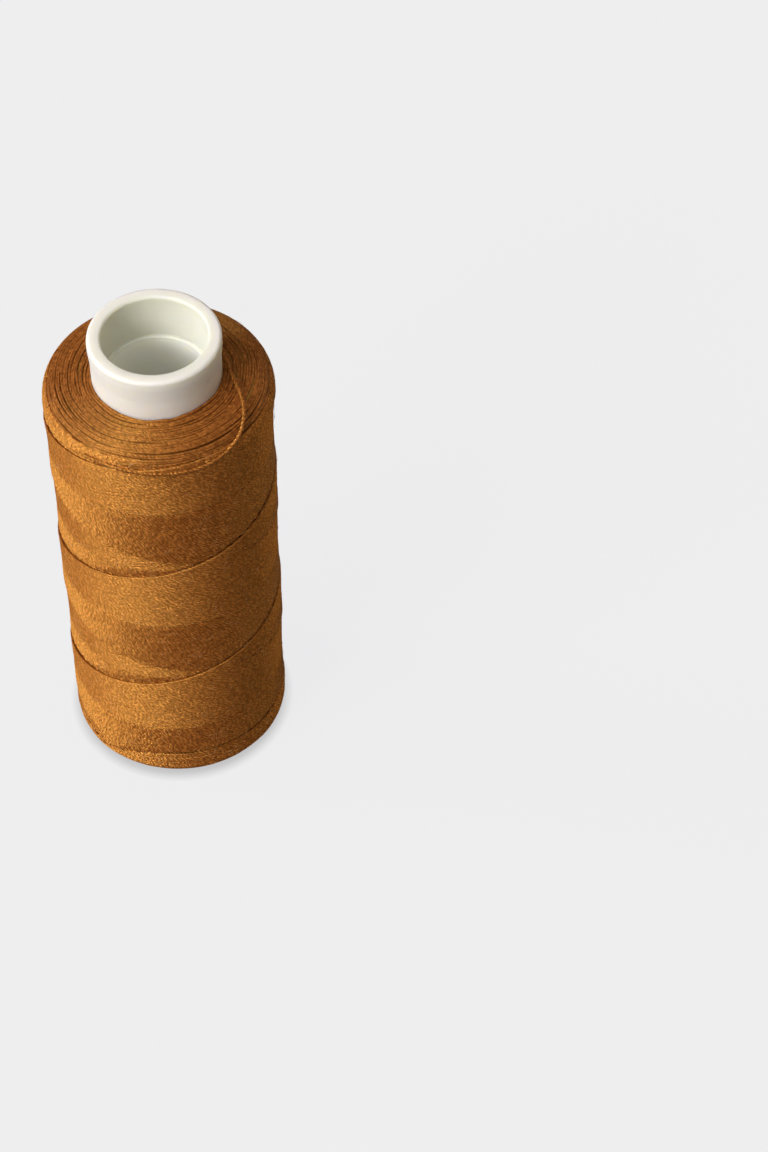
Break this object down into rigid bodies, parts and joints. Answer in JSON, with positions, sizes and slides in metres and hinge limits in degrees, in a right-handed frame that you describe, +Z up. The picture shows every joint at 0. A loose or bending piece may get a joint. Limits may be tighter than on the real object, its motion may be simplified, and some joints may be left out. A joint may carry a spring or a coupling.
{
  "type": "spool of thread",
  "caption": "Straight moulded tube, open right through, wound with sewing thread; a collar stands out at the top and a free thread end lies over the shoulder.",
  "frame": {"origin": "centre of the tube's foot, on the surface the spool stands on", "axes": "+Z up along the tube's axis, towards the collar; the loose end lies towards -Y and +X"},
  "size_m": [0.0284, 0.0288, 0.07],
  "materials": {
    "tube_plastic": "smooth ivory moulded plastic",
    "thread": "spun polyester thread, golden brown"
  },
  "bodies": {
    "root": {"core_tube": "tube_plastic", "wound_body": "thread", "outer_turns": "thread", "loose_end": "thread"}
  },
  "joints": []
}
